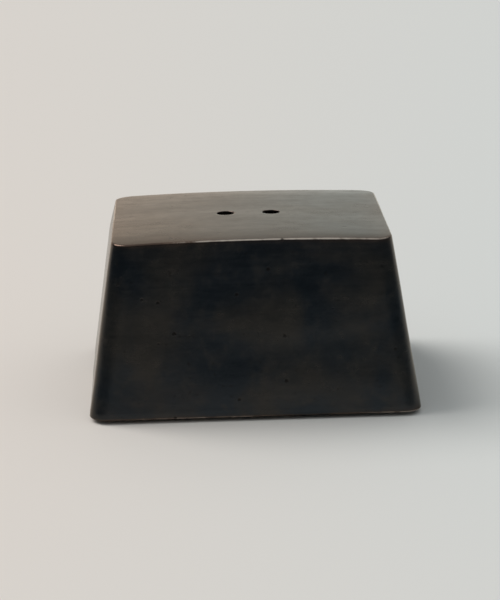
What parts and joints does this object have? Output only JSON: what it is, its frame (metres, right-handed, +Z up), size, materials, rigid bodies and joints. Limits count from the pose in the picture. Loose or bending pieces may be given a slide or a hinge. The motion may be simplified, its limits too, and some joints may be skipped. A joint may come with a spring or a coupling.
{
  "type": "display plinth",
  "caption": "Table-top display plinth for a sculpture: a hollow cast-bronze block with tapered sides, two fixing holes in its top, and a felted plywood board closing its base.",
  "frame": {"origin": "centre of the felt's underside, on the surface the plinth stands on", "axes": "+Z up, +X to the right along the wider side, -Y towards the front"},
  "size_m": [0.1688, 0.1398, 0.092],
  "materials": {
    "bronze_patina": "near-black brown patina under wax, worn to warm metal along the edges",
    "bronze_raw": "sawn bronze, dull, with heat marks beside the welds",
    "plate_steel": "hot-rolled steel plate, deburred",
    "zinc_steel": "bright zinc plating",
    "black_screw_steel": "black oxide, lightly oiled",
    "screw_brass": "turned brass, satin",
    "birch_plywood": "sanded and oiled, plies showing at the edge",
    "black_felt": "dense wool felt, glued on"
  },
  "bodies": {
    "root": {"plinth_shell": "bronze_patina", "spreader_plate": "plate_steel", "base_board": "birch_plywood", "felt_pad": "black_felt", "corner_lug_1": "bronze_raw", "plate_washer_1": "zinc_steel", "plate_screw_1": "black_screw_steel", "base_screw_1": "screw_brass", "corner_lug_2": "bronze_raw", "plate_washer_2": "zinc_steel", "plate_screw_2": "black_screw_steel", "base_screw_2": "screw_brass", "corner_lug_3": "bronze_raw", "plate_washer_3": "zinc_steel", "plate_screw_3": "black_screw_steel", "base_screw_3": "screw_brass", "corner_lug_4": "bronze_raw", "plate_washer_4": "zinc_steel", "plate_screw_4": "black_screw_steel", "base_screw_4": "screw_brass"}
  },
  "joints": []
}
